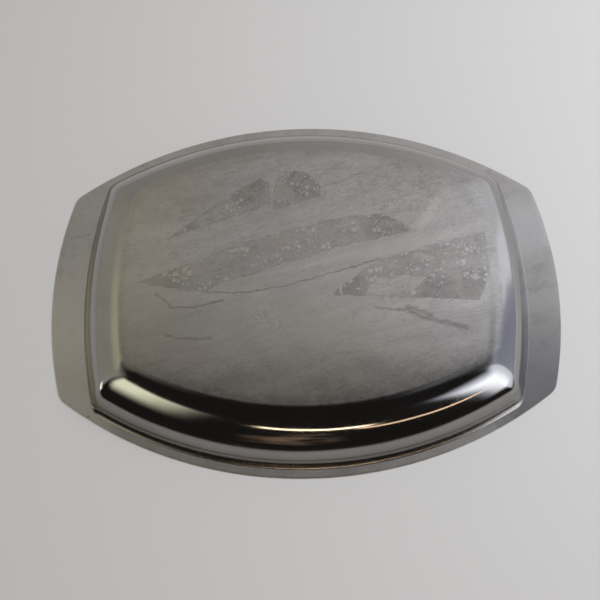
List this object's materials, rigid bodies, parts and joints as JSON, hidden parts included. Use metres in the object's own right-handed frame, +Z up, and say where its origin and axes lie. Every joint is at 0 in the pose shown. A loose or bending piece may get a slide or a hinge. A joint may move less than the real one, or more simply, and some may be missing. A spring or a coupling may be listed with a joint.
{
  "type": "serving tray",
  "caption": "Barrel-shaped serving tray pressed from steel sheet, with a rounded pan and wide flat end flanges to hold it by.",
  "frame": {"origin": "centre of the plane that the flange's upper side lies on when the tray is turned over", "axes": "+X from handle to handle, +Y across, +Z up with the tray turned over: the base is on top and the well opens towards -Z. In use the tray is turned by 180 degrees about X."},
  "size_m": [0.4198, 0.318, 0.031],
  "materials": {
    "stainless_steel": "worn satin on the flange and base, bright on the bends, with dried residue on the base"
  },
  "bodies": {
    "root": {"serving_tray": "stainless_steel"}
  },
  "joints": []
}
